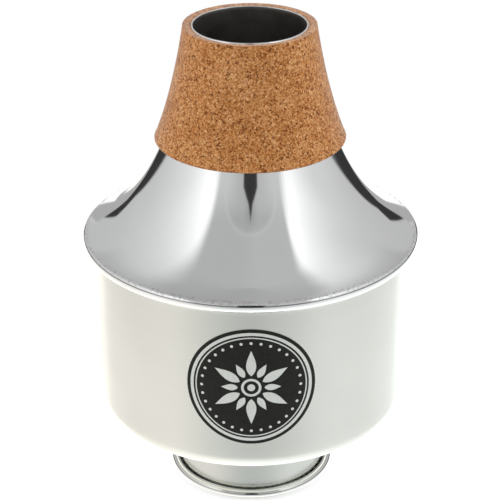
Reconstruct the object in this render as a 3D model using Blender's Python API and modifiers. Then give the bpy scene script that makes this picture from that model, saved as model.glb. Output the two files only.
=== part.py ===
"""Wah-wah mute for a trumpet.

A spun aluminium body, which is a cup with a flared cone rolled over its flange, carries a cork
collar round the neck. A stem, which is a tube with a small bowl on its outer end, slides in a
ferrule in the cup's base. The mute stands on the bowl's rolled rim, at Z = 0, with its neck up
and its round label towards -Y. All sizes are in metres.
"""

import math

import bmesh
import bpy
from mathutils import Vector

# Fits
TOUCH_GAP = 0.0003
SLIDE_GAP = 0.0003

# Cone with its neck, measured on the outside of the sheet
CONE_SHEET = 0.0006
NECK_RADIUS = 0.0175
NECK_SLOPE = math.radians(8.6)
NECK_PULL = 0.0352
CONE_HEIGHT = 0.06675
RIM_RADIUS = 0.0520
RIM_SLOPE = math.radians(19.5)
RIM_PULL = 0.0184

# Rolled edge of the cone: a tight corner on top that passes into a wide roll underneath
ROLL_CORNER = 0.0010
ROLL_RADIUS = 0.00275
ROLL_CHANGE = math.radians(12.0)
ROLL_WIDTH = 0.0033

# Cup, measured on the outside of the sheet
CUP_SHEET = 0.0007
CUP_RADIUS = 0.0480
CUP_HEIGHT = 0.0566
CUP_CORNER = 0.0055
FLANGE_FILLET = 0.0008

# Cork collar: it stands a little above the neck's mouth and is thicker at its lower end
CORK_THICKNESS = 0.00285
CORK_SWELL = 0.00035
CORK_RISE = 0.0004
CORK_LENGTH = 0.0354
CORK_EDGE = 0.0003
CORK_SEAM = 0.0003
CORK_SEAM_ANGLE = math.radians(12.0)

# Round label on the cup's front
LABEL_RADIUS = 0.01945
LABEL_THICKNESS = 0.0003
LABEL_HEIGHT = 0.0300

# Ferrule in the cup's base
FERRULE_WALL = 0.0007
FERRULE_LENGTH = 0.0240
FERRULE_FLANGE = 0.0040
FERRULE_LIP = 0.0016

# Stem tube
TUBE_RADIUS = 0.0100
TUBE_WALL = 0.0007
TUBE_LENGTH = 0.0665
TUBE_LIP = 0.0022
TUBE_EDGE = 0.0002

# Stem bowl, measured on its inside and on the outside of its rolled rim
BOWL_SHEET = 0.0007
BOWL_RADIUS = 0.0230
BOWL_HEIGHT = 0.0230
BOWL_SHOULDER = 0.0035
BOWL_BEND = 0.0010
BEAD_OUTER_RADIUS = 0.02635
BEAD_RADIUS = 0.0013
BEAD_TURN = math.radians(215.0)

# Facets: the steps round the axis of wide pieces, of the bowl and of the pieces in the middle
WIDE_STEPS = 60
BOWL_STEPS = 48
NARROW_STEPS = 40
ROLL_SEGMENTS = 3

# Heights and radii that the sizes above lead to
FERRULE_BOTTOM = BOWL_HEIGHT + TOUCH_GAP
BASE_Z = FERRULE_BOTTOM + FERRULE_WALL + TOUCH_GAP
FLANGE_Z = BASE_Z + CUP_HEIGHT
ROLL_Z = FLANGE_Z - TOUCH_GAP - CONE_SHEET + ROLL_RADIUS
NECK_Z = ROLL_Z + CONE_HEIGHT
CORK_TOP = NECK_Z + CORK_RISE
FERRULE_BORE = TUBE_RADIUS + SLIDE_GAP
FERRULE_RADIUS = FERRULE_BORE + FERRULE_WALL
ROLL_CENTRE = Vector((RIM_RADIUS - ROLL_RADIUS, ROLL_Z))
CORNER_CENTRE = ROLL_CENTRE + (ROLL_RADIUS - ROLL_CORNER) * Vector((math.cos(ROLL_CHANGE), math.sin(ROLL_CHANGE)))


def clear_scene():
    """Empties the file, so that the script can be run again."""
    for old in list(bpy.data.objects):
        bpy.data.objects.remove(old, do_unlink=True)
    for old in list(bpy.data.collections):
        bpy.data.collections.remove(old)


def new_collection(name):
    collection = bpy.data.collections.new(name)
    bpy.context.scene.collection.children.link(collection)
    return collection


def finish(name, colour, roughness, metallic):
    """A plain surface in the part's colour."""
    material = bpy.data.materials.new(name)
    material.use_nodes = True
    shader = material.node_tree.nodes["Principled BSDF"]
    shader.inputs["Base Color"].default_value = (*colour, 1.0)
    shader.inputs["Roughness"].default_value = roughness
    shader.inputs["Metallic"].default_value = metallic
    return material


def arc(centre, radius, start, end, segments):
    """Points of an arc in the profile's plane, with both ends; angles in degrees from +X."""
    points = []
    for i in range(segments + 1):
        angle = math.radians(start + (end - start) * i / segments)
        points.append((centre[0] + radius * math.cos(angle), centre[1] + radius * math.sin(angle)))
    return points


def profile_object(name, points, closed, collection, material):
    """A profile in the XZ plane as edges, ready for a Screw modifier."""
    outline = bmesh.new()
    corners = [outline.verts.new((x, 0.0, z)) for x, z in points]
    pairs = list(zip(corners, corners[1:]))
    if closed:
        pairs.append((corners[-1], corners[0]))
    for pair in pairs:
        outline.edges.new(pair)
    mesh = bpy.data.meshes.new(name)
    outline.to_mesh(mesh)
    outline.free()
    mesh.materials.append(material)
    piece = bpy.data.objects.new(name, mesh)
    collection.objects.link(piece)
    return piece


def turn(piece, steps):
    """Turns a profile once round Z."""
    screw = piece.modifiers.new("Turn", "SCREW")
    screw.axis = "Z"
    screw.angle = math.tau
    screw.steps = steps
    screw.render_steps = steps
    screw.use_merge_vertices = True
    screw.merge_threshold = 0.00001
    screw.use_smooth_shade = True


def spun_sheet(name, points, thickness, steps, collection, material):
    """A sheet metal shell: an open profile of its outer side, turned and given its thickness."""
    piece = profile_object(name, points, False, collection, material)
    turn(piece, steps)
    wall = piece.modifiers.new("Sheet", "SOLIDIFY")
    wall.thickness = thickness
    wall.offset = -1.0
    wall.use_even_offset = True
    return piece


def turned_solid(name, points, steps, collection, material):
    """A ring with a closed profile."""
    piece = profile_object(name, points, True, collection, material)
    turn(piece, steps)
    return piece


def cone_curve(share):
    """A point of the cone's outside, from the neck's mouth at 0 to the rolled edge at 1."""
    start = Vector((NECK_RADIUS, NECK_Z))
    end = CORNER_CENTRE + ROLL_CORNER * Vector((math.sin(RIM_SLOPE), math.cos(RIM_SLOPE)))
    near_start = start + NECK_PULL * Vector((math.sin(NECK_SLOPE), -math.cos(NECK_SLOPE)))
    near_end = end - RIM_PULL * Vector((math.cos(RIM_SLOPE), -math.sin(RIM_SLOPE)))
    rest = 1.0 - share
    return (rest ** 3 * start + 3.0 * rest ** 2 * share * near_start
            + 3.0 * rest * share ** 2 * near_end + share ** 3 * end)


def neck_at(height):
    """The cone's outer radius at a height, and how much a wall's thickness grows when cut level."""
    low, high = 0.0, 1.0
    for _ in range(40):
        middle = (low + high) / 2.0
        if cone_curve(middle).y > height:
            low = middle
        else:
            high = middle
    here = cone_curve(low)
    ahead = cone_curve(low + 0.001) - here
    return here.x, ahead.length / abs(ahead.y)


def make_cone(collection):
    """The neck and flare in one spinning, its edge rolled round the cup's flange."""
    flare_segments = 12
    points = [tuple(cone_curve(i / flare_segments)) for i in range(flare_segments + 1)]
    corner_start = 90.0 - math.degrees(RIM_SLOPE)
    points += arc(CORNER_CENTRE, ROLL_CORNER, corner_start, math.degrees(ROLL_CHANGE), 2)[1:]
    points += arc(ROLL_CENTRE, ROLL_RADIUS, 0.0, -90.0, ROLL_SEGMENTS)
    points.append((RIM_RADIUS - ROLL_WIDTH, ROLL_Z - ROLL_RADIUS))
    polished = finish("polished_aluminium", (0.78, 0.78, 0.79), 0.08, 1.0)
    return spun_sheet("cone_shell", points, CONE_SHEET, WIDE_STEPS, collection, polished)


def make_cup(collection):
    """The straight-sided cup: its flange curls up in the rolled edge, its base takes the ferrule."""
    curl_radius = ROLL_RADIUS - CONE_SHEET - TOUCH_GAP
    points = arc(ROLL_CENTRE, curl_radius, 0.0, -90.0, ROLL_SEGMENTS)
    fillet_centre = (CUP_RADIUS + FLANGE_FILLET, FLANGE_Z - FLANGE_FILLET)
    points += arc(fillet_centre, FLANGE_FILLET, 90.0, 180.0, 2)
    corner_centre = (CUP_RADIUS - CUP_CORNER, BASE_Z + CUP_CORNER)
    points += arc(corner_centre, CUP_CORNER, 0.0, -90.0, 5)
    points.append((FERRULE_RADIUS + TOUCH_GAP, BASE_Z))
    satin = finish("satin_aluminium", (0.74, 0.74, 0.71), 0.35, 1.0)
    return spun_sheet("cup_shell", points, CUP_SHEET, WIDE_STEPS, collection, satin)


def make_collar(collection, cutters):
    """A sheet of cork wrapped round the neck, with its two ends butted at the back."""
    stations = 5
    outside, inside = [], []
    for i in range(stations):
        share = 1.0 - (1.0 - i / (stations - 1)) ** 1.5
        height = CORK_TOP - CORK_LENGTH * share
        radius, growth = neck_at(height)
        outside.append((radius + (CORK_THICKNESS + CORK_SWELL * share) * growth, height))
        inside.append((radius + TOUCH_GAP * growth, height))
    edge_x, edge_z = outside.pop()
    outside += arc((edge_x - CORK_EDGE, edge_z + CORK_EDGE), CORK_EDGE, 0.0, -90.0, 2)
    cork = finish("cork", (0.52, 0.25, 0.10), 0.85, 0.0)
    collar = turned_solid("cork_collar", outside + inside[::-1], WIDE_STEPS, collection, cork)

    seam = bmesh.new()
    bmesh.ops.create_cube(seam, size=1.0)
    reach = outside[-1][0] + CORK_THICKNESS
    bmesh.ops.scale(seam, vec=(CORK_SEAM, reach, CORK_LENGTH + 2.0 * CORK_THICKNESS), verts=seam.verts)
    mesh = bpy.data.meshes.new("collar_seam_cutter")
    seam.to_mesh(mesh)
    seam.free()
    cutter = bpy.data.objects.new("collar_seam_cutter", mesh)
    cutter.rotation_euler = (0.0, 0.0, -CORK_SEAM_ANGLE)
    towards_seam = Vector((math.sin(CORK_SEAM_ANGLE), math.cos(CORK_SEAM_ANGLE), 0.0))
    cutter.location = towards_seam * reach / 2.0
    cutter.location.z = CORK_TOP - CORK_LENGTH / 2.0
    hide_cutter(cutter, cutters)
    cut = collar.modifiers.new("Seam", "BOOLEAN")
    cut.operation = "DIFFERENCE"
    cut.object = cutter
    return collar


def hide_cutter(cutter, cutters):
    cutters.objects.link(cutter)
    cutter.hide_render = True
    cutter.display_type = "WIRE"


def make_label(collection, cutters):
    """A thin round label, bent round the cup's wall."""
    inner = CUP_RADIUS + TOUCH_GAP
    outer = inner + LABEL_THICKNESS
    middle_z = BASE_Z + LABEL_HEIGHT
    low, high = middle_z - 1.2 * LABEL_RADIUS, middle_z + 1.2 * LABEL_RADIUS
    foil = finish("black_label", (0.02, 0.02, 0.015), 0.35, 0.0)
    band = [(outer, high), (outer, low), (inner, low), (inner, high)]
    label = turned_solid("round_label", band, 4 * WIDE_STEPS, collection, foil)

    outline = bpy.data.curves.new("label_outline", "CURVE")
    outline.dimensions = "2D"
    outline.fill_mode = "BOTH"
    outline.extrude = CUP_RADIUS / 2.0
    count = 48
    spline = outline.splines.new("POLY")
    spline.points.add(count - 1)
    for i, point in enumerate(spline.points):
        angle = math.tau * i / count
        along_wall = LABEL_RADIUS * math.cos(angle)
        point.co = (outer * math.sin(along_wall / outer), LABEL_RADIUS * math.sin(angle), 0.0, 1.0)
    spline.use_cyclic_u = True
    sketch = bpy.data.objects.new("label_outline", outline)
    cutters.objects.link(sketch)
    sketch.location = (0.0, -CUP_RADIUS, middle_z)
    sketch.rotation_euler = (math.radians(90.0), 0.0, 0.0)
    punch = mesh_from_curve(sketch, "label_punch", cutters)
    cut = label.modifiers.new("Punch", "BOOLEAN")
    cut.operation = "INTERSECT"
    cut.object = punch
    return label


def mesh_from_curve(sketch, name, cutters):
    """A curve's solid as a cutter of its own, with its caps welded; the curve is removed."""
    bpy.context.view_layer.update()
    evaluated = sketch.evaluated_get(bpy.context.evaluated_depsgraph_get())
    mesh = bpy.data.meshes.new_from_object(evaluated)
    solid = bmesh.new()
    solid.from_mesh(mesh)
    bmesh.ops.remove_doubles(solid, verts=solid.verts, dist=0.000001)
    solid.to_mesh(mesh)
    solid.free()
    cutter = bpy.data.objects.new(name, mesh)
    cutter.matrix_world = sketch.matrix_world
    hide_cutter(cutter, cutters)
    bpy.data.objects.remove(sketch, do_unlink=True)
    return cutter


def make_ferrule(collection):
    """The bush that guides the stem, clinched to the base between its flange and its lip."""
    top = FERRULE_BOTTOM + FERRULE_LENGTH
    lip_top = FERRULE_BOTTOM + FERRULE_WALL
    flange_bottom = BASE_Z + CUP_SHEET + TOUCH_GAP
    flange_top = flange_bottom + FERRULE_WALL
    points = [
        (FERRULE_RADIUS, top),
        (FERRULE_RADIUS, flange_top),
        (FERRULE_RADIUS + FERRULE_FLANGE, flange_top),
        (FERRULE_RADIUS + FERRULE_FLANGE, flange_bottom),
        (FERRULE_RADIUS, flange_bottom),
        (FERRULE_RADIUS, lip_top),
        (FERRULE_RADIUS + FERRULE_LIP, lip_top),
        (FERRULE_RADIUS + FERRULE_LIP, FERRULE_BOTTOM),
        (FERRULE_BORE, FERRULE_BOTTOM),
        (FERRULE_BORE, top),
    ]
    metal = finish("ferrule_aluminium", (0.70, 0.70, 0.70), 0.30, 1.0)
    return turned_solid("stem_ferrule", points, NARROW_STEPS, collection, metal)


def make_stem(collection, slide):
    """The tube and the bowl on its outer end, which slide along Z together."""
    plate_bottom = BOWL_HEIGHT - BOWL_SHEET
    lip_top = plate_bottom - TOUCH_GAP
    lip_bottom = lip_top - TUBE_WALL
    tube_top = BOWL_HEIGHT + TUBE_LENGTH
    bore = TUBE_RADIUS - TUBE_WALL
    tube_points = [
        (TUBE_RADIUS - TUBE_EDGE, tube_top),
        (TUBE_RADIUS, tube_top - TUBE_EDGE),
        (TUBE_RADIUS, lip_top),
        (TUBE_RADIUS + TUBE_LIP, lip_top),
        (TUBE_RADIUS + TUBE_LIP, lip_bottom),
        (TUBE_RADIUS, lip_bottom),
        (bore, lip_bottom + TUBE_WALL),
        (bore, tube_top - TUBE_EDGE),
        (bore + TUBE_EDGE, tube_top),
    ]
    tube_metal = finish("tube_aluminium", (0.74, 0.74, 0.74), 0.22, 1.0)
    tube = turned_solid("stem_tube", tube_points, NARROW_STEPS, collection, tube_metal)

    bead_centre = (BEAD_OUTER_RADIUS - BEAD_RADIUS, BEAD_RADIUS)
    bead_start = math.degrees(BEAD_TURN) - 90.0
    points = arc(bead_centre, BEAD_RADIUS, bead_start, -90.0, 7)
    bend_centre = (BOWL_RADIUS + BOWL_BEND, BOWL_BEND)
    points += arc(bend_centre, BOWL_BEND, 270.0, 180.0, 2)
    shoulder_centre = (BOWL_RADIUS - BOWL_SHOULDER, plate_bottom - BOWL_SHOULDER)
    points += arc(shoulder_centre, BOWL_SHOULDER, 0.0, 90.0, 4)
    points.append((TUBE_RADIUS + TOUCH_GAP, plate_bottom))
    bowl_metal = finish("bowl_aluminium", (0.76, 0.76, 0.75), 0.15, 1.0)
    bowl = spun_sheet("stem_bowl", points, BOWL_SHEET, BOWL_STEPS, collection, bowl_metal)
    for piece in (tube, bowl):
        piece.parent = slide


def main():
    clear_scene()
    mute = new_collection("trumpet_mute")
    cutters = new_collection("cutters")
    make_cone(mute)
    make_cup(mute)
    make_collar(mute, cutters)
    make_label(mute, cutters)
    make_ferrule(mute)
    slide = bpy.data.objects.new("stem_slide", None)
    slide.empty_display_size = BOWL_RADIUS
    mute.objects.link(slide)
    make_stem(mute, slide)


main()
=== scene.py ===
import math

import bmesh
import bpy
from bpy.props import FloatProperty, FloatVectorProperty, IntProperty, PointerProperty
from mathutils import Matrix, Vector, noise


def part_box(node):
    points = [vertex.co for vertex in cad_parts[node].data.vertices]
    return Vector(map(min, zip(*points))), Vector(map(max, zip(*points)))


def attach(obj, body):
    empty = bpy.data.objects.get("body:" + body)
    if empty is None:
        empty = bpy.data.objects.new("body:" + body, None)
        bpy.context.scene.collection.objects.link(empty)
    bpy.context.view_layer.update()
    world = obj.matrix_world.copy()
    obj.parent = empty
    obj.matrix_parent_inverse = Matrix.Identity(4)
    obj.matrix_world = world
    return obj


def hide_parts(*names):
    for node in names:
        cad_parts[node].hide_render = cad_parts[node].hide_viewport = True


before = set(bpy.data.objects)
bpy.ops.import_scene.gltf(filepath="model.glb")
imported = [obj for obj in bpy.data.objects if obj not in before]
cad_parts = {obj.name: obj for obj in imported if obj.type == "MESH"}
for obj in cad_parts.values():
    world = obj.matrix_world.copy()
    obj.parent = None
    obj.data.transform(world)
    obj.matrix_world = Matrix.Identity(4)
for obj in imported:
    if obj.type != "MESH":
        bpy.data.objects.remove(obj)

bl_info = {
    "name": "Trumpet wah-wah mute",
    "version": (1, 0, 0),
    "blender": (4, 5, 0),
    "location": "3D View > Sidebar > Mute",
    "description": "Dresses a wah-wah mute in polished and satin aluminium, cork and a printed label",
    "category": "Object",
}

# Corners of each piece's box in the construction, in metres
CONE_LOW, CONE_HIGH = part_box("cone_shell")
CUP_LOW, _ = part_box("cup_shell")
CORK_LOW, CORK_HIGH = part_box("cork_collar")
LABEL_LOW, LABEL_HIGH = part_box("round_label")
_, BOWL_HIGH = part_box("stem_bowl")
TUBE_LOW, TUBE_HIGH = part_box("stem_tube")
FERRULE_LOW, FERRULE_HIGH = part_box("stem_ferrule")

# Sizes of the ferrule and the tube that their boxes don't give, in metres
FERRULE_BORE = 0.0103
FERRULE_RADIUS = 0.0110
FERRULE_LIP = 0.0016
FERRULE_LIP_HEIGHT = 0.0007
TUBE_RADIUS = 0.0100

# Gap between skins that would touch, in metres
HAIRLINE = 0.0001


class MuteSizes(bpy.types.PropertyGroup):
    """Sizes that the construction's boxes don't give."""

    neck_radius: FloatProperty(
        name="Neck radius", description="Outside of the neck at its mouth",
        default=0.01738, min=0.010, max=0.030, unit="LENGTH")
    neck_slope: FloatProperty(
        name="Neck slope", description="Lean of the neck at its mouth",
        default=math.radians(8.6), min=0.0, max=0.5, subtype="ANGLE")
    neck_pull: FloatProperty(
        name="Neck pull", description="How far the neck keeps its slope before it flares",
        default=0.0352, min=0.01, max=0.06, unit="LENGTH")
    rim_slope: FloatProperty(
        name="Rim slope", description="Slope of the flare where it meets the rolled edge",
        default=math.radians(19.5), min=0.0, max=0.6, subtype="ANGLE")
    rim_pull: FloatProperty(
        name="Rim pull", description="How far the rim keeps its slope before it rises",
        default=0.0184, min=0.005, max=0.03, unit="LENGTH")
    cone_sheet: FloatProperty(
        name="Cone sheet", description="Thickness of the cone's sheet",
        default=0.00048, min=0.0003, max=0.0015, unit="LENGTH")
    roll_corner: FloatProperty(
        name="Roll corner", description="Radius of the tight corner on top of the rolled edge",
        default=0.0010, min=0.0007, max=0.003, unit="LENGTH")
    roll_radius: FloatProperty(
        name="Roll radius", description="Radius of the roll round the cup's flange",
        default=0.00275, min=0.001, max=0.004, unit="LENGTH")
    roll_change: FloatProperty(
        name="Roll change", description="Lean of the edge where the corner passes into the roll",
        default=math.radians(12.0), min=0.0, max=0.6, subtype="ANGLE")
    roll_width: FloatProperty(
        name="Roll width", description="How far the rolled edge reaches in under the rim",
        default=0.0033, min=0.002, max=0.006, unit="LENGTH")
    cup_radius: FloatProperty(
        name="Cup radius", description="Outside of the cup's wall",
        default=0.0480, min=0.03, max=0.06, unit="LENGTH")
    cup_sheet: FloatProperty(
        name="Cup sheet", description="Thickness of the cup's sheet",
        default=0.0007, min=0.0004, max=0.0015, unit="LENGTH")
    cup_corner: FloatProperty(
        name="Cup corner", description="Radius of the corner between wall and base",
        default=0.0055, min=0.002, max=0.01, unit="LENGTH")
    cork_thickness: FloatProperty(
        name="Cork thickness", description="Thickness of the collar over the neck's mouth",
        default=0.00256, min=0.001, max=0.005, unit="LENGTH")
    cork_swell: FloatProperty(
        name="Cork swell", description="How much thicker the collar is at its lower end",
        default=0.0002, min=0.0, max=0.002, unit="LENGTH")
    bowl_radius: FloatProperty(
        name="Bowl radius", description="Inside of the stem bowl's wall",
        default=0.0230, min=0.015, max=0.03, unit="LENGTH")
    bead_radius: FloatProperty(
        name="Bead radius", description="Radius of the bowl's rolled rim",
        default=0.0013, min=0.0008, max=0.002, unit="LENGTH")
    label_radius: FloatProperty(
        name="Label radius", description="Radius of the round label, measured along the wall",
        default=0.01945, min=0.01, max=0.025, unit="LENGTH")
    steps: IntProperty(
        name="Steps", description="Steps round the axis of each turned piece",
        default=224, min=48, max=512)


class MuteFinish(bpy.types.PropertyGroup):
    """Colours and polish."""

    polish: FloatProperty(
        name="Polish", description="Roughness of the mirror-polished metal",
        default=0.055, min=0.0, max=1.0)
    satin: FloatProperty(
        name="Satin", description="Roughness of the satin metal",
        default=0.30, min=0.0, max=1.0)
    metal: FloatVectorProperty(
        name="Metal", description="Colour of clean aluminium",
        default=(0.90, 0.905, 0.91), min=0.0, max=1.0, size=3, subtype="COLOR")
    satin_metal: FloatVectorProperty(
        name="Satin metal", description="Colour of the cup's aluminium",
        default=(0.91, 0.915, 0.87), min=0.0, max=1.0, size=3, subtype="COLOR")
    # Painted shade: the bowl's aluminium is darker than the clean metal for the shade under the cup, with a
    # slight tint of its own
    bowl_metal_shaded: FloatVectorProperty(
        name="Bowl metal", description="Colour of the stem bowl's aluminium",
        default=(0.73, 0.735, 0.71), min=0.0, max=1.0, size=3, subtype="COLOR")
    cork_light: FloatVectorProperty(
        name="Light cork", description="Colour of the palest granules",
        default=(0.81, 0.48, 0.245), min=0.0, max=1.0, size=3, subtype="COLOR")
    cork_dark: FloatVectorProperty(
        name="Dark cork", description="Colour of bark specks and of the gaps between granules",
        default=(0.13, 0.035, 0.006), min=0.0, max=1.0, size=3, subtype="COLOR")
    granule: FloatProperty(
        name="Granule", description="Size of a cork granule",
        default=0.0011, min=0.0004, max=0.004, unit="LENGTH")
    black: FloatVectorProperty(
        name="Label black", description="Colour of the label's film",
        default=(0.008, 0.008, 0.006), min=0.0, max=1.0, size=3, subtype="COLOR")
    silver: FloatVectorProperty(
        name="Label silver", description="Colour of the label's print",
        default=(0.72, 0.74, 0.71), min=0.0, max=1.0, size=3, subtype="COLOR")


class MuteStage(bpy.types.PropertyGroup):
    """Camera, table and lamps."""

    camera_back: FloatProperty(
        name="Camera distance", description="Distance of the camera in front of the axis",
        default=0.4729, min=0.1, max=3.0, unit="LENGTH")
    camera_height: FloatProperty(
        name="Camera height", description="Height of the camera over the table",
        default=0.30845, min=0.05, max=3.0, unit="LENGTH")
    camera_tilt: FloatProperty(
        name="Camera tilt", description="How far the camera looks down",
        default=math.radians(26.2), min=0.0, max=1.5, subtype="ANGLE")
    camera_roll: FloatProperty(
        name="Camera roll", description="How far the camera is turned about its line of sight",
        default=math.radians(-0.22), min=-0.5, max=0.5, subtype="ANGLE")
    lens: FloatProperty(
        name="Lens", description="Focal length for a 36 mm wide picture, in millimetres",
        default=120.8, min=20.0, max=300.0)
    camera_shift: FloatProperty(
        name="Camera shift", description="Sideways shift of the picture, as a share of its width",
        default=-0.0014, min=-0.1, max=0.1)
    floor_radius: FloatProperty(
        name="Floor radius", description="Radius of the pale table top",
        default=0.30, min=0.1, max=3.0, unit="LENGTH")
    side_light: FloatProperty(
        name="Side light", description="Power of each of the two lamps beside the table",
        default=7.2, min=0.0, max=100.0, unit="POWER")
    top_light: FloatProperty(
        name="Top light", description="Power of the lamp over the table",
        default=0.9, min=0.0, max=100.0, unit="POWER")


class Value:
    """A number in a node tree. Python's operators on it add Math nodes."""

    def __init__(self, nodes, socket):
        self.nodes = nodes
        self.socket = socket

    def _maths(self, operation, *others):
        inputs = dict(enumerate((self, *others)))
        return self.nodes.value("ShaderNodeMath", {"operation": operation}, inputs)

    def __add__(self, other):
        return self._maths("ADD", other)

    __radd__ = __add__

    def __mul__(self, other):
        return self._maths("MULTIPLY", other)

    __rmul__ = __mul__

    def __sub__(self, other):
        return self._maths("SUBTRACT", other)

    def __rsub__(self, other):
        return (self * -1.0) + other

    def __truediv__(self, other):
        return self._maths("DIVIDE", other)

    def __pow__(self, other):
        return self._maths("POWER", other)

    def __abs__(self):
        return self._maths("ABSOLUTE")

    def at_least(self, other):
        return self._maths("MAXIMUM", other)

    def at_most(self, other):
        return self._maths("MINIMUM", other)

    def exponential(self):
        return self._maths("EXPONENT")

    def arcsine(self):
        return self._maths("ARCSINE")

    def arctangent(self, other):
        """The angle of a triangle with this side opposite it and the other side beside it."""
        return self._maths("ARCTAN2", other)

    def step(self, start, end):
        """0 below start, 1 above end, smooth between them."""
        inputs = {"Value": self, "From Min": start, "From Max": end}
        settings = {"interpolation_type": "SMOOTHSTEP"}
        return self.nodes.value("ShaderNodeMapRange", settings, inputs)

    def below(self, limit, soft):
        """1 below the limit, 0 above it, smooth over the soft width on both sides of it."""
        return 1.0 - (self - limit).step(soft * -1.0, soft)


class Nodes:
    """A node tree that is being wired."""

    def __init__(self, tree):
        self.tree = tree

    def node(self, kind, settings=None, inputs=None):
        """Adds a node: its settings first, then the values or links of its sockets."""
        made = self.tree.nodes.new(kind)
        for key, setting in (settings or {}).items():
            if key == "stops":
                self._stops(made.color_ramp, setting)
            else:
                setattr(made, key, setting)
        for key, given in (inputs or {}).items():
            self.give(made.inputs[key], given)
        return made

    def give(self, socket, given):
        """Links a socket, or sets its number, its vector or its colour, which comes without alpha."""
        given = given.socket if isinstance(given, Value) else given
        if isinstance(given, bpy.types.NodeSocket):
            self.tree.links.new(given, socket)
        elif socket.type == "RGBA":
            socket.default_value = (*given, 1.0)
        else:
            socket.default_value = given

    def _stops(self, ramp, stops):
        """Sets a ramp's stops, each a place from 0 to 1 and a colour."""
        while len(ramp.elements) < len(stops):
            ramp.elements.new(1.0)
        for element, (place, colour) in zip(ramp.elements, stops):
            element.position = place
            element.color = (*colour, 1.0)

    def value(self, kind, settings=None, inputs=None):
        """Adds a node and takes the number that it gives first."""
        return Value(self, self.node(kind, settings, inputs).outputs[0])

    def mix(self, share, first, second):
        """A colour between two colours."""
        made = self.node("ShaderNodeMix", {"data_type": "RGBA"}, {"Factor": share, "A": first, "B": second})
        return made.outputs["Result"]

    def blend(self, share, first, second):
        """A shader between two shaders."""
        inputs = {0: share, 1: first.outputs[0], 2: second.outputs[0]}
        return self.node("ShaderNodeMixShader", None, inputs)

    def split(self, vector):
        """The three numbers of a vector."""
        parts = self.node("ShaderNodeSeparateXYZ", None, {"Vector": vector})
        return [Value(self, parts.outputs[i]) for i in range(3)]

    def place(self):
        """The point on the object, in metres, and its three numbers."""
        point = self.node("ShaderNodeTexCoord").outputs["Object"]
        return point, self.split(point)

    def turned(self):
        """The point on the object with its radius and height, for marks that run round the axis."""
        point, (x, y, z) = self.place()
        radius = (x * x + y * y) ** 0.5
        return point, radius, z

    def combine(self, x, y, z):
        """A vector of three numbers."""
        return self.node("ShaderNodeCombineXYZ", None, {0: x, 1: y, 2: z}).outputs[0]

    def noise(self, vector, scale, detail=2.0, roughness=0.5):
        """Uneven numbers round 0.5, at that many to the unit."""
        inputs = {"Vector": vector, "Scale": scale, "Detail": detail, "Roughness": roughness}
        return self.value("ShaderNodeTexNoise", None, inputs)

    def ray(self, kind):
        """1 for rays of a kind, by the Light Path node's name for it, and 0 for the others."""
        return Value(self, self.node("ShaderNodeLightPath").outputs[kind])

    def seen_plainly(self):
        """1 for what the camera sees by itself or through something clear, and 0 for the rest."""
        return (self.ray("Is Camera Ray") + self.ray("Is Transmission Ray")).at_most(1.0)


class Surface(Nodes):
    """A material with a Principled shader."""

    def __init__(self, name):
        self.material = bpy.data.materials.new(name)
        self.material.use_nodes = True
        super().__init__(self.material.node_tree)
        self.shader = self.tree.nodes["Principled BSDF"]

    def set(self, **inputs):
        """Sets or links the shader's sockets, whose names have _ in place of a space."""
        for key, given in inputs.items():
            self.give(self.shader.inputs[key.replace("_", " ")], given)

    def bump(self, height, distance, strength=1.0):
        """Shades fine relief, of which a height of 1 stands the distance over 0."""
        inputs = {"Height": height, "Distance": distance, "Strength": strength}
        self.set(Normal=self.node("ShaderNodeBump", None, inputs).outputs[0])


def lathe_lines(surface, radius, height, pitch):
    """Uneven fine rings that a spinning tool and polishing leave, as a number round 0.5."""
    across = (radius + height) / pitch
    along = (radius - height) / pitch
    return surface.noise(surface.combine(across, along, 0.0), scale=1.0, detail=3.0, roughness=0.6)


def polished_metal(name, finish, colour, rim_radius=None, soft_radius=None):
    """Mirror-polished aluminium with wiping haze, faint turned rings and fine scratches.

    A rim radius adds scuffs along the top of that rim. Inside a soft radius the polish is duller.
    """
    haze_grey = (0.70, 0.71, 0.70)
    scuff_grey = (0.40, 0.39, 0.36)
    surface = Surface(name)
    point, radius, height = surface.turned()
    rings = lathe_lines(surface, radius, height, pitch=0.0011)
    haze = surface.noise(point, scale=38.0, detail=4.0, roughness=0.6).step(0.45, 0.75)
    scratches = surface.noise(point, scale=900.0, detail=2.0, roughness=0.7).step(0.68, 0.75)
    worn = haze * 0.035 + scratches * 0.05
    tone = surface.mix(haze * 0.12, colour, haze_grey)
    if rim_radius:
        low, high = CONE_LOW.z + 0.0032, CONE_LOW.z + 0.0037
        inner, outer = rim_radius - 0.0019, rim_radius - 0.0010
        on_rim = radius.step(inner, outer) * height.step(low, high)
        scuffs = surface.noise(point, scale=1300.0, detail=3.0, roughness=0.65).step(0.50, 0.60) * on_rim
        worn = worn + scuffs * 0.25
        tone = surface.mix(scuffs * 0.45, tone, scuff_grey)
    if soft_radius:
        change = 0.0006
        worn = worn + (1.0 - radius.step(soft_radius, soft_radius + change)) * 0.20
    surface.set(Base_Color=tone, Metallic=1.0, Roughness=worn + finish.polish)
    surface.bump(rings, distance=0.0000022)
    return surface.material


def satin_metal(name, finish):
    """Satin aluminium: fine lines round the axis, which spread each reflection up and down."""
    cloudy = (0.74, 0.74, 0.70)
    surface = Surface(name)
    point, radius, height = surface.turned()
    coarse = lathe_lines(surface, radius, height, pitch=0.0007)
    fine = lathe_lines(surface, radius, height, pitch=0.00018)
    cloud = surface.noise(point, scale=26.0, detail=3.0, roughness=0.55).step(0.35, 0.75)
    tone = surface.mix(coarse * 0.30 + cloud * 0.10, finish.satin_metal, cloudy)
    surface.set(
        Base_Color=tone, Metallic=1.0, Anisotropic=0.65, Anisotropic_Rotation=0.25,
        Roughness=(coarse - 0.5) * 0.12 + cloud * 0.04 + finish.satin)
    surface.bump(fine * 0.6 + coarse * 0.4, distance=0.000006)
    return surface.material


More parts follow.
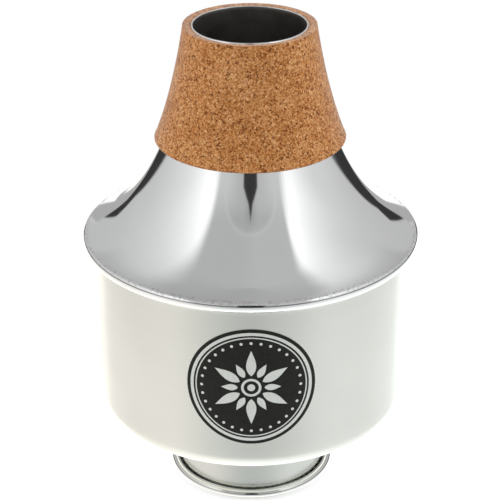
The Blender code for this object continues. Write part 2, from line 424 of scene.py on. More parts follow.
def turned_metal(name, finish, roughness):
    """Aluminium as it leaves the lathe or the drawing die."""
    tool_marks = (0.62, 0.62, 0.60)
    surface = Surface(name)
    _, radius, height = surface.turned()
    rings = lathe_lines(surface, radius, height, pitch=0.0004)
    tone = surface.mix(rings * 0.4, finish.metal, tool_marks)
    surface.set(Base_Color=tone, Metallic=1.0, Roughness=(rings - 0.5) * 0.15 + roughness)
    surface.bump(rings, distance=0.000008)
    return surface.material


def shaded_inside(name):
    """The unpolished inside of the spun cone, its greys darkened as painted shade of the deep bore."""
    # Painted shade: both greys are far darker than aluminium, to stand for the shade deep in the bore
    dull_shaded_grey = (0.44, 0.42, 0.40)
    stained_shaded_grey = (0.30, 0.27, 0.245)
    surface = Surface(name)
    point, radius, height = surface.turned()
    rings = lathe_lines(surface, radius, height, pitch=0.0009)
    stain = surface.noise(point, scale=60.0, detail=4.0, roughness=0.6)
    tone = surface.mix(stain.step(0.3, 0.7), dull_shaded_grey, stained_shaded_grey)
    surface.set(Base_Color=tone, Metallic=1.0, Roughness=rings * 0.2 + 0.38)
    surface.bump(rings, distance=0.00001)
    return surface.material


def cork_surface(name, finish):
    """Agglomerated cork: packed granules in many browns, bark specks and open pits."""
    wobble_reach = 0.0011
    pit_brown = (0.17, 0.052, 0.010)
    browns = (
        (0.00, (0.23, 0.060, 0.007)),
        (0.25, (0.39, 0.137, 0.031)),
        (0.50, (0.545, 0.243, 0.079)),
        (0.75, (0.68, 0.355, 0.152)),
        (1.00, tuple(finish.cork_light)),
    )
    surface = Surface(name)
    point, _ = surface.place()
    wobble = surface.node("ShaderNodeTexNoise", None, {"Vector": point, "Scale": 420.0, "Detail": 2.0})
    shifted = surface.node(
        "ShaderNodeVectorMath", {"operation": "MULTIPLY_ADD"},
        {0: wobble.outputs["Color"], 1: (wobble_reach, wobble_reach, wobble_reach), 2: point}).outputs[0]
    density = 1.0 / finish.granule

    def cells(scale, feature="F1"):
        inputs = {"Vector": shifted, "Scale": scale, "Randomness": 1.0}
        return surface.node("ShaderNodeTexVoronoi", {"feature": feature}, inputs)

    def chances(scale):
        """Three random numbers for each cell."""
        return surface.split(cells(scale).outputs["Color"])

    granules = chances(density)
    chips = chances(density * 2.1)
    crumbs = chances(density * 3.7)
    edges = Value(surface, cells(density, "DISTANCE_TO_EDGE").outputs["Distance"])
    pick = granules[0] * 0.20 + chips[0] * 0.36 + crumbs[0] * 0.44
    mottle = surface.noise(point, scale=3400.0, detail=3.0, roughness=0.7)
    drift = surface.noise(point, scale=110.0, detail=2.0, roughness=0.5)
    brown = surface.node(
        "ShaderNodeValToRGB", {"stops": browns},
        {0: pick * 1.05 + mottle * 0.80 + drift * 0.3 - 0.60}).outputs[0]
    gap = 1.0 - edges.step(0.02, 0.13)
    specks = chips[1].step(0.80, 0.92)
    dark = (gap * 0.35 + specks * 0.70).at_most(1.0)
    tone = surface.mix(dark, brown, finish.cork_dark)
    pits = surface.noise(point, scale=1500.0, detail=2.0, roughness=0.6).step(0.58, 0.72)
    tone = surface.mix(pits * 0.45, tone, pit_brown)
    surface.set(
        Base_Color=tone, Roughness=mottle * 0.15 + 0.72, Specular_IOR_Level=0.25,
        Sheen_Weight=0.5, Sheen_Roughness=0.38)
    relief = edges.step(0.0, 0.25) * 0.6 - pits * 0.7 + mottle * 0.4
    surface.bump(relief, distance=0.00006, strength=0.9)
    return surface.material


def label_film(name, finish):
    """Black film with the faint unevenness of ink."""
    worn_black = (0.016, 0.016, 0.013)
    surface = Surface(name)
    point, _ = surface.place()
    grain = surface.noise(point, scale=700.0, detail=3.0, roughness=0.6)
    tone = surface.mix(grain.step(0.4, 0.7) * 0.5, finish.black, worn_black)
    surface.set(Base_Color=tone, Roughness=grain * 0.12 + 0.34, Specular_IOR_Level=0.28)
    surface.bump(grain, distance=0.000004)
    return surface.material


def label_print(name, finish):
    """Silver ink: flat, bright and a little grainy."""
    worn_silver = (0.55, 0.57, 0.55)
    surface = Surface(name)
    point, _ = surface.place()
    grain = surface.noise(point, scale=1800.0, detail=2.0, roughness=0.6)
    tone = surface.mix(grain.step(0.45, 0.75) * 0.35, finish.silver, worn_silver)
    surface.set(Base_Color=tone, Metallic=0.35, Roughness=grain * 0.15 + 0.40)
    return surface.material


def arc(centre, radius, start, end, segments):
    """Points of an arc in the profile's plane, both ends included; angles in degrees."""
    points = []
    for i in range(segments + 1):
        angle = math.radians(start + (end - start) * i / segments)
        points.append(Vector((centre[0] + radius * math.cos(angle), centre[1] + radius * math.sin(angle))))
    return points


def straight(start, end, length):
    """Points along a line, without its first, about a length apart."""
    start, end = Vector(start), Vector(end)
    count = max(1, round((end - start).length / length))
    return [start.lerp(end, i / count) for i in range(1, count + 1)]


def sheet_loop(side, thickness):
    """A closed profile from a sheet's one side, with its thickness behind and rounded edges.

    It comes with the number of points on that side and on a rounded edge.
    """
    normals = []
    for i, point in enumerate(side):
        before = side[max(i - 1, 0)]
        after = side[min(i + 1, len(side) - 1)]
        along = (after - before).normalized()
        normals.append(Vector((-along.y, along.x)))
    back = [p - n * thickness for p, n in zip(side, normals)]
    edge_segments = 6
    bulge = 0.5

    def edge(middle, start_normal, forward):
        """Points round a cut edge, which bulges by a share of half the thickness."""
        made = []
        for i in range(1, edge_segments):
            angle = math.pi * i / edge_segments
            offset = start_normal * math.cos(angle) + forward * math.sin(angle) * bulge
            made.append(middle + offset * thickness / 2.0)
        return made

    last_along = (side[-1] - side[-2]).normalized()
    first_along = (side[0] - side[1]).normalized()
    far_edge = edge((side[-1] + back[-1]) / 2.0, normals[-1], last_along)
    near_edge = edge((side[0] + back[0]) / 2.0, -normals[0], first_along)
    return side + far_edge + back[::-1] + near_edge, len(side), len(far_edge)


def turned_mesh(name, loop, steps, materials, index_of=None, start=0.0, sweep=math.tau, nudge=None):
    """A closed profile swept round Z as a smooth mesh; a part sweep gets end caps.

    index_of gives the material of the face after a point of the profile, and nudge moves a point.
    """
    whole = sweep == math.tau
    columns = steps if whole else steps + 1
    count = len(loop)
    mesh_data = bmesh.new()
    rows = []
    for step in range(columns):
        angle = start + sweep * step / steps
        turn = (math.cos(angle), math.sin(angle))
        row = []
        for point in loop:
            place = Vector((point[0] * turn[0], point[0] * turn[1], point[1]))
            if nudge:
                place = nudge(place, Vector((turn[0], turn[1], 0.0)))
            row.append(mesh_data.verts.new(place))
        rows.append(row)
    for step in range(steps):
        here = rows[step]
        there = rows[(step + 1) % columns]
        for i in range(count):
            j = (i + 1) % count
            face = mesh_data.faces.new((here[i], here[j], there[j], there[i]))
            face.material_index = index_of(i) if index_of else 0
    if not whole:
        mesh_data.faces.new(rows[0][::-1])
        mesh_data.faces.new(rows[-1])
    bmesh.ops.recalc_face_normals(mesh_data, faces=mesh_data.faces)
    return piece_from(name, mesh_data, materials)


def piece_from(name, mesh_data, materials, sharp=50.0):
    """An object of finished mesh data, smooth but for edges over the sharp angle in degrees."""
    mesh = bpy.data.meshes.new(name)
    mesh_data.to_mesh(mesh)
    mesh_data.free()
    for material in materials:
        mesh.materials.append(material)
    mesh.shade_smooth()
    mesh.set_sharp_from_angle(angle=math.radians(sharp))
    piece = bpy.data.objects.new(name, mesh)
    bpy.context.scene.collection.objects.link(piece)
    return piece


def settle(piece, body, slot, *nodes):
    """Rides a finished piece on its body, in place of the nodes that it stands for."""
    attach(piece, body)
    if nodes:
        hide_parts(*nodes)


def roll_centre(sizes):
    """The middle of the roll in the profile's plane."""
    return Vector((CONE_HIGH.x - sizes.roll_radius, CONE_LOW.z + sizes.roll_radius))


def corner_centre(sizes):
    """The middle of the tight corner on top of the roll."""
    towards = Vector((math.cos(sizes.roll_change), math.sin(sizes.roll_change)))
    return roll_centre(sizes) + (sizes.roll_radius - sizes.roll_corner) * towards


def cone_curve(sizes, samples):
    """The cone's outside from the mouth to the rolled edge."""
    start = Vector((sizes.neck_radius, CORK_HIGH.z))
    lean = Vector((math.sin(sizes.rim_slope), math.cos(sizes.rim_slope)))
    end = corner_centre(sizes) + sizes.roll_corner * lean
    near_start = start + sizes.neck_pull * Vector((math.sin(sizes.neck_slope), -math.cos(sizes.neck_slope)))
    near_end = end - sizes.rim_pull * Vector((math.cos(sizes.rim_slope), -math.sin(sizes.rim_slope)))
    points = []
    for i in range(samples + 1):
        share = i / samples
        rest = 1.0 - share
        points.append(rest ** 3 * start + 3.0 * rest ** 2 * share * near_start
                      + 3.0 * rest * share ** 2 * near_end + share ** 3 * end)
    return points


class MUTE_OT_cone(bpy.types.Operator):
    """Makes the polished neck and flare with its rolled edge"""

    bl_idname = "mute.cone"
    bl_label = "Cone and neck"

    def execute(self, context):
        sizes = context.scene.mute_sizes
        finish = context.scene.mute_finish
        corner_start = 90.0 - math.degrees(sizes.rim_slope)
        change = math.degrees(sizes.roll_change)
        corner_steps, roll_steps = 10, 20
        side = cone_curve(sizes, samples=84)
        side += arc(corner_centre(sizes), sizes.roll_corner, corner_start, change, corner_steps)[1:]
        side += arc(roll_centre(sizes), sizes.roll_radius, change, -90.0, roll_steps)[1:]
        side += straight(side[-1], (CONE_HIGH.x - sizes.roll_width, CONE_LOW.z), length=0.0008)
        loop, front, cap = sheet_loop(side, sizes.cone_sheet)
        polished = polished_metal("polished_aluminium", finish, finish.metal, rim_radius=CONE_HIGH.x)
        # The cone's inside gets greys darkened as painted shade
        inside = shaded_inside("cone_inside_shaded")
        inner_start = front + cap + corner_steps + roll_steps
        inner_end = len(loop) - cap - 2

        def index_of(i):
            """The inside's material, darkened with painted shade, between the neck's edge and the roll,
            else the polish.
            """
            return 1 if inner_start <= i <= inner_end else 0

        cone = turned_mesh("cone_skin", loop, sizes.steps, [polished, inside], index_of)
        settle(cone, "body", "polished_aluminium", "cone_shell")
        return {"FINISHED"}


class MUTE_OT_cup(bpy.types.Operator):
    """Makes the satin cup and the ferrule in its base"""

    bl_idname = "mute.cup"
    bl_label = "Cup and ferrule"

    def execute(self, context):
        sizes = context.scene.mute_sizes
        finish = context.scene.mute_finish
        curl = sizes.roll_radius - sizes.cone_sheet - HAIRLINE
        flange_z = roll_centre(sizes).y - curl
        fillet = 0.0008
        side = arc(roll_centre(sizes), curl, 0.0, -90.0, segments=12)
        side += straight(side[-1], (sizes.cup_radius + fillet, flange_z), length=0.0008)
        side += arc((sizes.cup_radius + fillet, flange_z - fillet), fillet, 90.0, 180.0, segments=6)[1:]
        corner = (sizes.cup_radius - sizes.cup_corner, CUP_LOW.z + sizes.cup_corner)
        side += straight(side[-1], (sizes.cup_radius, corner[1]), length=0.002)
        side += arc(corner, sizes.cup_corner, 0.0, -90.0, segments=18)[1:]
        side += straight(side[-1], (FERRULE_RADIUS + HAIRLINE, CUP_LOW.z), length=0.002)
        loop, _, _ = sheet_loop(side, sizes.cup_sheet)
        cup = turned_mesh("cup_skin", loop, sizes.steps, [satin_metal("satin_aluminium", finish)])
        settle(cup, "body", "satin_aluminium", "cup_shell")

        lip = FERRULE_RADIUS + FERRULE_LIP
        lip_top = FERRULE_LOW.z + FERRULE_LIP_HEIGHT
        base_top = CUP_LOW.z + sizes.cup_sheet
        seat = base_top + HAIRLINE
        flange_top = seat + FERRULE_LIP_HEIGHT
        round_edge = FERRULE_LIP_HEIGHT / 2.0
        loop = [Vector((FERRULE_RADIUS, FERRULE_HIGH.z))]
        loop += straight(loop[-1], (FERRULE_RADIUS, flange_top), length=0.002)
        flange_middle = (FERRULE_HIGH.x - round_edge, seat + round_edge)
        loop += arc(flange_middle, round_edge, 90.0, -90.0, segments=6)
        loop += [Vector((FERRULE_RADIUS, seat)), Vector((FERRULE_RADIUS, lip_top))]
        lip_middle = (lip - round_edge, FERRULE_LOW.z + round_edge)
        loop += arc(lip_middle, round_edge, 90.0, -90.0, segments=6)
        loop += [Vector((FERRULE_BORE, FERRULE_LOW.z)), Vector((FERRULE_BORE, FERRULE_HIGH.z))]
        metal = turned_metal("ferrule_aluminium", finish, roughness=0.28)
        ferrule = turned_mesh("ferrule_skin", loop, sizes.steps // 2, [metal])
        settle(ferrule, "body", "ferrule_aluminium", "stem_ferrule")
        return {"FINISHED"}


class MUTE_OT_collar(bpy.types.Operator):
    """Makes the cork collar, wrapped round the neck with its seam at the back"""

    bl_idname = "mute.collar"
    bl_label = "Cork collar"

    def execute(self, context):
        sizes = context.scene.mute_sizes
        finish = context.scene.mute_finish
        curve = cone_curve(sizes, samples=160)
        glue = 0.00002
        outside, inside = [], []
        for i, point in enumerate(curve[:-1]):
            if point.y < CORK_LOW.z:
                break
            along = (curve[i + 1] - point).normalized()
            growth = 1.0 / abs(along.y)
            share = (CORK_HIGH.z - point.y) / (CORK_HIGH.z - CORK_LOW.z)
            thickness = sizes.cork_thickness + sizes.cork_swell * share
            outside.append(Vector((point.x + thickness * growth, point.y)))
            inside.append(Vector((point.x + glue * growth, point.y)))
        top_edge, low_edge = 0.00006, 0.0004
        top_rise, inner_drop, low_flare = 0.0001, 0.0002, 0.0001
        cut = CORK_HIGH.z + top_rise
        outside = [p for p in outside if CORK_LOW.z + low_edge < p.y < cut - top_edge]
        first, last = outside[0], outside[-1]
        top = arc((first.x - top_edge, cut - top_edge), top_edge, 90.0, 0.0, segments=4)
        low_middle = (last.x + low_flare - low_edge, CORK_LOW.z + low_edge)
        low = arc(low_middle, low_edge, 0.0, -90.0, segments=6)
        inside[0].y = CORK_HIGH.z - inner_drop
        inside[-1].y = CORK_LOW.z
        loop = top + outside + low + inside[::-1]
        seam, seam_width = math.radians(78.0), 0.00012
        half_gap = seam_width / (2.0 * inside[0].x)
        fine_grain, broad_grain, relief = 900.0, 260.0, 0.00003
        smooth_part = 0.001

        def nudge(place, away):
            """Roughens the cork a little, but for what lies on the neck near its mouth."""
            grain = noise.noise(place * fine_grain) * relief + noise.noise(place * broad_grain) * relief
            wall = Vector((place.x, place.y, 0.0)).length - inside[0].x
            return place + away * grain if wall > smooth_part else place

        collar = turned_mesh(
            "cork_wrap", loop, sizes.steps * 2, [cork_surface("cork", finish)],
            start=seam + half_gap, sweep=math.tau - 2.0 * half_gap, nudge=nudge)
        settle(collar, "body", "cork", "cork_collar")
        return {"FINISHED"}


class MUTE_OT_label(bpy.types.Operator):
    """Makes the round label and its plain silver rosette"""

    bl_idname = "mute.label"
    bl_label = "Round label"

    def execute(self, context):
        sizes = context.scene.mute_sizes
        finish = context.scene.mute_finish
        middle = (LABEL_LOW.z + LABEL_HIGH.z) / 2.0
        film_height, film_depth, ink_height = 0.00012, 0.0001, 0.00003
        film_radius = sizes.cup_radius + film_height
        ink_radius = film_radius + ink_height
        unit = sizes.label_radius
        hub = (0.0, 0.0)

        def on_wall(along, up, radius):
            """The point so far round the cup and over the label's middle, at that radius."""
            angle = along / radius
            return Vector((radius * math.sin(angle), -radius * math.cos(angle), middle + up))

        def on_film(along, up):
            return on_wall(along, up, film_radius)

        def in_ink(along, up):
            return on_wall(along, up, ink_radius)

        film = bmesh.new()
        disc(film, hub, unit, rings=40, spokes=128, place=on_film)
        thicken(film, film_depth)
        label = piece_from("label_film", film, [label_film("black_label", finish)], sharp=30.0)
        settle(label, "body", "black_label", "round_label")

        ink = bmesh.new()
        ring(ink, outer=0.945 * unit, inner=0.895 * unit, spokes=160, place=in_ink)
        ring(ink, outer=0.865 * unit, inner=0.845 * unit, spokes=160, place=in_ink)
        dots, dot_circle, dot_radius = 32, 0.765 * unit, 0.024 * unit
        for i in range(dots):
            angle = math.tau * i / dots
            centre = (dot_circle * math.sin(angle), dot_circle * math.cos(angle))
            disc(ink, centre, dot_radius, rings=3, spokes=16, place=in_ink)
        petals, petal_start = 12, 0.20 * unit
        long_petal, short_petal = (0.64 * unit, 0.085 * unit), (0.46 * unit, 0.060 * unit)
        for i in range(petals):
            reach, width = short_petal if i % 2 else long_petal
            petal(ink, math.tau * i / petals, petal_start, reach, width, in_ink)
        ring(ink, outer=0.155 * unit, inner=0.115 * unit, spokes=48, place=in_ink)
        disc(ink, hub, radius=0.060 * unit, rings=4, spokes=24, place=in_ink)
        rosette = piece_from("label_ink", ink, [label_print("label_silver", finish)], sharp=30.0)
        settle(rosette, "body", "black_label")
        return {"FINISHED"}


def disc(mesh_data, centre, radius, rings, spokes, place):
    """A round patch of rings about a centre, laid on the wall by place."""
    hub = mesh_data.verts.new(place(*centre))
    before = None
    for i in range(1, rings + 1):
        reach = radius * i / rings
        row = []
        for j in range(spokes):
            angle = math.tau * j / spokes
            row.append(mesh_data.verts.new(place(
                centre[0] + reach * math.cos(angle), centre[1] + reach * math.sin(angle))))
        for j in range(spokes):
            k = (j + 1) % spokes
            if before is None:
                mesh_data.faces.new((hub, row[j], row[k]))
            else:
                mesh_data.faces.new((before[j], row[j], row[k], before[k]))
        before = row


def thicken(mesh_data, depth):
    """Draws a film's cut edge down towards the wall by the depth."""
    rim = [edge for edge in mesh_data.edges if edge.is_boundary]
    made = bmesh.ops.extrude_edge_only(mesh_data, edges=rim)
    for vert in [v for v in made["geom"] if isinstance(v, bmesh.types.BMVert)]:
        outward = Vector((vert.co.x, vert.co.y, 0.0)).normalized()
        vert.co -= outward * depth


def ring(mesh_data, outer, inner, spokes, place):
    """A flat ring laid on the wall by place."""
    rows = []
    for reach in (outer, (outer + inner) / 2.0, inner):
        row = []
        for j in range(spokes):
            angle = math.tau * j / spokes
            row.append(mesh_data.verts.new(place(reach * math.cos(angle), reach * math.sin(angle))))
        rows.append(row)
    for near, far in zip(rows, rows[1:]):
        for j in range(spokes):
            k = (j + 1) % spokes
            mesh_data.faces.new((near[j], near[k], far[k], far[j]))


def petal(mesh_data, angle, start, end, width, place):
    """A pointed leaf that runs outward at an angle, widest near its start and slim at its tip."""
    length_steps, width_steps = 16, 4
    fullness, taper, tip = 0.8, 0.25, 0.000004
    out = Vector((math.sin(angle), math.cos(angle)))
    side = Vector((out.y, -out.x))
    rows = []
    for i in range(length_steps + 1):
        share = i / length_steps
        half = width * math.sin(math.pi * share ** fullness) * (1.0 - taper * share) + tip
        row = []
        for j in range(width_steps + 1):
            across = half * (2.0 * j / width_steps - 1.0)
            point = out * (start + (end - start) * share) + side * across
            row.append(mesh_data.verts.new(place(point.x, point.y)))
        rows.append(row)
    for near, far in zip(rows, rows[1:]):
        for j in range(width_steps):
            mesh_data.faces.new((near[j], near[j + 1], far[j + 1], far[j]))


class MUTE_OT_stem(bpy.types.Operator):
    """Makes the sliding stem: its tube and its bowl with a rolled rim"""

    bl_idname = "mute.stem"
    bl_label = "Stem"

    def execute(self, context):
        sizes = context.scene.mute_sizes
        finish = context.scene.mute_finish
        sheet = 0.0007
        plate = BOWL_HIGH.z - sheet
        bead, bead_start = sizes.bead_radius, 125.0
        bend, shoulder = 0.0010, 0.0035
        side = arc((BOWL_HIGH.x - bead, bead), bead, bead_start, -90.0, segments=26)
        side += straight(side[-1], (sizes.bowl_radius + bend, 0.0), length=0.0006)
        side += arc((sizes.bowl_radius + bend, bend), bend, 270.0, 180.0, segments=8)[1:]
        side += straight(side[-1], (sizes.bowl_radius, plate - shoulder), length=0.002)
        shoulder_middle = (sizes.bowl_radius - shoulder, plate - shoulder)
        side += arc(shoulder_middle, shoulder, 0.0, 90.0, segments=14)[1:]
        side += straight(side[-1], (TUBE_RADIUS + HAIRLINE, plate), length=0.002)
        loop, _, _ = sheet_loop(side, sheet)
        off_wall = 0.0004
        dull_radius = sizes.bowl_radius + sheet + off_wall
        # The bowl's colour carries painted shade from the cup above it
        metal = polished_metal("bowl_aluminium", finish, finish.bowl_metal_shaded, soft_radius=dull_radius)
        bowl = turned_mesh("bowl_skin", loop, sizes.steps, [metal])
        settle(bowl, "stem", "bowl_aluminium", "stem_bowl")

        wall, flare = 0.0007, 0.0012
        bore = TUBE_RADIUS - wall
        lip_top = plate - HAIRLINE
        side = [Vector((TUBE_RADIUS, TUBE_HIGH.z))]
        side += straight(side[-1], (TUBE_RADIUS, lip_top), length=0.002)[:-1]
        inner = [Vector((bore, TUBE_HIGH.z))]
        inner += straight(inner[-1], (bore, TUBE_LOW.z + flare), length=0.002)
        inner += arc((bore + flare, TUBE_LOW.z + flare), flare, 180.0, 270.0, segments=8)[1:]
        lip_middle = (TUBE_HIGH.x - wall / 2.0, TUBE_LOW.z + wall / 2.0)
        outer_lip = arc(lip_middle, wall / 2.0, 90.0, -90.0, segments=6)
        loop = side + [Vector((TUBE_RADIUS, TUBE_LOW.z + wall))] + outer_lip + inner[::-1]
        metal = turned_metal("tube_aluminium", finish, roughness=0.20)
        tube = turned_mesh("tube_skin", loop, sizes.steps // 2, [metal])
        settle(tube, "stem", "tube_aluminium", "stem_tube")
        return {"FINISHED"}


class LightTent(Nodes):
    """What polished metal mirrors, drawn by direction as brightness, where 1 is white.

    Side is the angle from the front round to the back and up is the height, both in degrees.
    Right is 1 on the right half and 0 on the left half, where the tent is a little different.
    """

    def __init__(self, tree):
        super().__init__(tree)
        tree.nodes.clear()
        x, y, z = self.split(self.node("ShaderNodeTexCoord").outputs["Generated"])
        to_degrees = 180.0 / math.pi
        self.side = abs(x.arctangent(y * -1.0) * to_degrees)
        self.up = z.arcsine() * to_degrees
        self.right = x.step(-0.1, 0.1)

    def walls(self):
        """The dull ceiling, which comes down in front, and a bright panel on either side."""
        side, up, right = self.side, self.up, self.right
        glow = up.below(28.0, 9.0) * side.step(8.0, 30.0) * (0.12 - right * 0.03)
        ceiling = 0.43 + right * 0.03 - side.step(60.0, 170.0) * 0.065 + glow
        corner = ((41.0 + right - side) / (18.5 - right * 4.5)).exponential()
        top = 62.0 + right * 5.0 - corner * (37.0 - right * 10.0)
        top = top - side.step(105.0, 155.0) * (10.0 - right * 4.0)
        in_panel = side.step(33.0, 45.5) * up.below(top, 8.0 - right * 3.0)
        fade = ((56.0 - right * 4.0 - side) / (42.0 - right * 4.0)).exponential()
        lift = up.step(30.0, 66.0) * (0.04 + right * 0.15) * (1.0 - side.step(110.0, 160.0) * 0.5)
        panel = (fade * 0.60 + 0.44 + lift).at_most(1.04)
        low_shade = up.below(18.0, 6.0) * (1.0 - side.step(75.0, 105.0)) * (0.05 + right * 0.06)
        back_shade = side.step(122.0, 150.0) * up.below(57.0, 9.0) * up.step(27.0, 33.0) * 0.16
        return ceiling + in_panel * (panel * (1.0 - low_shade - back_shade) - ceiling)

    def front(self, tent):
        """Adds the shaded arch in front with its pale seam, and the dark spot of the camera."""
        side, up = self.side, self.up
        arch = ((side * 0.75) ** 2.0 + (up - 22.0) ** 2.0) ** 0.5
        tent = tent * (1.0 - (1.0 - arch.step(19.0, 22.0)) * up.step(28.0, 36.0) * 0.10)
        seam = arch.step(21.0, 22.2) * (1.0 - arch.step(22.6, 23.8)) * up.step(20.0, 30.0)
        tent = tent * (seam * 0.08 + 1.0)
        tent = tent * (1.0 - (1.0 - side.step(3.0, 9.0)) * up.below(39.0, 5.0) * 0.12)
        wide = 8.4 - (up - 23.5).at_least(0.0)
        narrow = 2.3 - (up - 29.6).at_least(0.0) * 0.31
        spot = 1.0 - (side - wide.at_least(narrow)).step(-1.2, 1.2)
        return tent * (1.0 - spot * 0.91)

    def rear(self, tent):
        """Adds the dark posts and horizon, the grey drape with its pale hem and the white backdrop."""
        side, up, right = self.side, self.up, self.right
        past_post = (side - right * 1.5 + (up + 7.0).at_most(0.0) * 0.5).step(155.3, 156.7)
        post = side.step(147.6, 149.2) * (1.0 - past_post) * up.below(4.5 + right * 3.5, 1.2)
        rise = right * (2.5 + side.step(134.0, 150.0) * 2.0)
        horizon = up.below(rise - 4.0, 1.5) * (side.step(118.0, 136.0) * 0.25 + 0.75)
        tent = tent * (1.0 - post.at_least(horizon * (1.0 - past_post)) * 0.93)
        height = up - right * 3.0
        drape = past_post * height.below(9.5, 1.5)
        tent = tent + drape * (0.395 - tent)
        hem = past_post * height.step(8.5, 9.5) * height.below(11.5, 1.0)
        tent = tent * (hem * 0.12 + 1.0)
        behind = side + right * 1.0 + (up + 9.0).at_most(0.0) * (1.0 - right * 0.6)
        backdrop = behind.step(164.3, 165.5) * up.below(10.0, 6.0)
        return tent + backdrop * (1.0 - tent)

    def table(self, tent):
        """Adds the table top: grey in front, white straight down and at its far edges."""
        side, up, right = self.side, self.up, self.right
        table = side.step(5.0, 75.0) * 0.24 + side.step(90.0, 135.0) * (0.06 + right * 0.05) + 0.555
        table = table + side.step(134.0, 154.0) * 0.45
        table = table + up.below(-56.0, 23.0) * (1.08 - table).at_least(0.0)
        table = table * (up.below(-31.0, 4.0) * 0.14 + 1.0)
        return tent + up.below(-19.0, 4.0) * (table - tent)

    def brightness(self):
        """The whole tent, with all its parts made brighter by the gain."""
        gain = 1.10
        return self.table(self.rear(self.front(self.walls()))) * gain

    def tint(self):
        """The table top's trace of colour: green in front, warm on the left, cool on the right."""
        warm, cool, green = (1.03, 1.0, 0.945), (0.97, 1.0, 0.985), (0.96, 1.0, 0.975)
        return self.mix(self.side.step(15.0, 60.0), green, self.mix(self.right, warm, cool))


def studio_world():
    """The world: metal mirrors the light tent, matt pieces get plain light, the rest is white."""
    plain_light = 0.40
    white = (1.0, 1.0, 1.0)
    world = bpy.data.worlds.new("light_tent")
    bpy.context.scene.world = world
    world.use_nodes = True
    tent = LightTent(world.node_tree)
    glossy = tent.ray("Is Glossy Ray")
    seen = tent.seen_plainly()
    strength = seen + (1.0 - seen) * (glossy * tent.brightness() + (1.0 - glossy) * plain_light)
    colour = tent.mix(glossy * tent.up.below(-17.0, 4.0), white, tent.tint())
    shader = tent.node("ShaderNodeBackground", None, {"Color": colour, "Strength": strength})
    tent.node("ShaderNodeOutputWorld", None, {"Surface": shader.outputs[0]})


def pale_floor(radius):
    """A pale table top that melts into the white backdrop but for a shadow at the object's foot.

    It isn't mirrored, and it is clear from underneath, so that views from below show the object.
    """
    shadow_start, shadow_end = 0.0258, 0.0285
    surface = Surface("pale_floor")
    _, (x, y, _) = surface.place()
    reach = (x * x + y * y) ** 0.5
    towards_front = (y / reach * -1.0).at_least(0.0)
    shadow = (1.0 - reach.step(shadow_start, shadow_end)) * (towards_front ** 4.0 * 0.65 + 0.03)
    surface.set(Base_Color=(0.86, 0.86, 0.85), Roughness=0.9, Specular_IOR_Level=0.0)
    white = surface.node("ShaderNodeEmission", None, {"Color": (1.0, 1.0, 1.0), "Strength": 1.0})
    top = surface.blend(surface.seen_plainly() * (1.0 - shadow), surface.shader, white)
    underside = surface.node("ShaderNodeNewGeometry").outputs["Backfacing"]
    one_sided = surface.blend(underside, top, surface.node("ShaderNodeBsdfTransparent"))
    surface.give(surface.tree.nodes["Material Output"].inputs["Surface"], one_sided.outputs[0])

    round_top = bmesh.new()
    bmesh.ops.create_circle(round_top, cap_ends=True, segments=96, radius=radius)
    floor = piece_from("floor", round_top, [surface.material])
    floor.location.z = -HAIRLINE
    floor.visible_glossy = False


def soft_lamp(name, place, size, power):
    """A large square lamp that lights the object's middle but isn't mirrored as a hard square."""
    middle = Vector((0.0, 0.0, 0.08))
    data = bpy.data.lights.new(name, "AREA")
    data.size = size
    data.energy = power
    lamp = bpy.data.objects.new(name, data)
    bpy.context.scene.collection.objects.link(lamp)
    lamp.location = place
    lamp.rotation_mode = "QUATERNION"
    lamp.rotation_quaternion = (middle - Vector(place)).to_track_quat("-Z", "Y")
    lamp.visible_glossy = False
    lamp.visible_camera = False


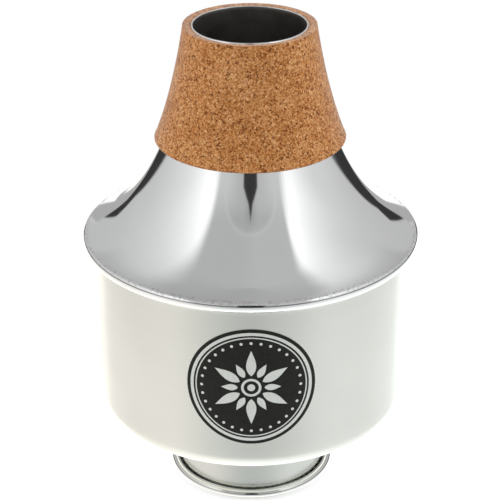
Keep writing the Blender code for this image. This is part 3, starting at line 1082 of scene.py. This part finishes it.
class MUTE_OT_stage(bpy.types.Operator):
    """Sets up the camera, the pale floor, the light tent and the lamps"""

    bl_idname = "mute.stage"
    bl_label = "Stage"

    def execute(self, context):
        stage = context.scene.mute_stage
        context.scene.view_settings.view_transform = "Standard"
        data = bpy.data.cameras.new("camera")
        data.lens = stage.lens
        data.sensor_width = 36.0
        data.shift_x = stage.camera_shift
        camera = bpy.data.objects.new("camera", data)
        context.scene.collection.objects.link(camera)
        camera.location = (0.0, -stage.camera_back, stage.camera_height)
        tilt = Matrix.Rotation(math.radians(90.0) - stage.camera_tilt, 3, "X")
        roll = Matrix.Rotation(stage.camera_roll, 3, "Z")
        camera.rotation_euler = (tilt @ roll).to_euler()
        context.scene.camera = camera
        studio_world()
        pale_floor(stage.floor_radius)
        out, forward, height = 0.88, -0.28, 0.50
        soft_lamp("left_soft_lamp", (-out, forward, height), size=0.7, power=stage.side_light)
        soft_lamp("right_soft_lamp", (out, forward, height), size=0.7, power=stage.side_light)
        soft_lamp("top_soft_lamp", (0.0, 0.25, 1.0), size=0.9, power=stage.top_light)
        return {"FINISHED"}


class MUTE_PT_parts(bpy.types.Panel):
    """Lists the mute's pieces"""

    bl_label = "Mute"
    bl_idname = "MUTE_PT_parts"
    bl_space_type = "VIEW_3D"
    bl_region_type = "UI"
    bl_category = "Mute"

    def draw(self, context):
        for operator in PIECES:
            self.layout.operator(operator.bl_idname)
        for group in GROUPS:
            settings = getattr(context.scene, group)
            box = self.layout.box()
            for name in settings.__annotations__:
                box.prop(settings, name)


PIECES = (MUTE_OT_stage, MUTE_OT_cone, MUTE_OT_cup, MUTE_OT_collar, MUTE_OT_label, MUTE_OT_stem)
GROUPS = {"mute_sizes": MuteSizes, "mute_finish": MuteFinish, "mute_stage": MuteStage}


def register():
    for group in GROUPS.values():
        bpy.utils.register_class(group)
    for name, group in GROUPS.items():
        setattr(bpy.types.Scene, name, PointerProperty(type=group))
    for operator in PIECES:
        bpy.utils.register_class(operator)
    bpy.utils.register_class(MUTE_PT_parts)


def unregister():
    bpy.utils.unregister_class(MUTE_PT_parts)
    for operator in reversed(PIECES):
        bpy.utils.unregister_class(operator)
    for name in GROUPS:
        delattr(bpy.types.Scene, name)
    for group in GROUPS.values():
        bpy.utils.unregister_class(group)


def main():
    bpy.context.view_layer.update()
    register()
    bpy.ops.mute.stage()
    bpy.ops.mute.cone()
    bpy.ops.mute.cup()
    bpy.ops.mute.collar()
    bpy.ops.mute.label()
    bpy.ops.mute.stem()


if __name__ == "__main__":
    main()
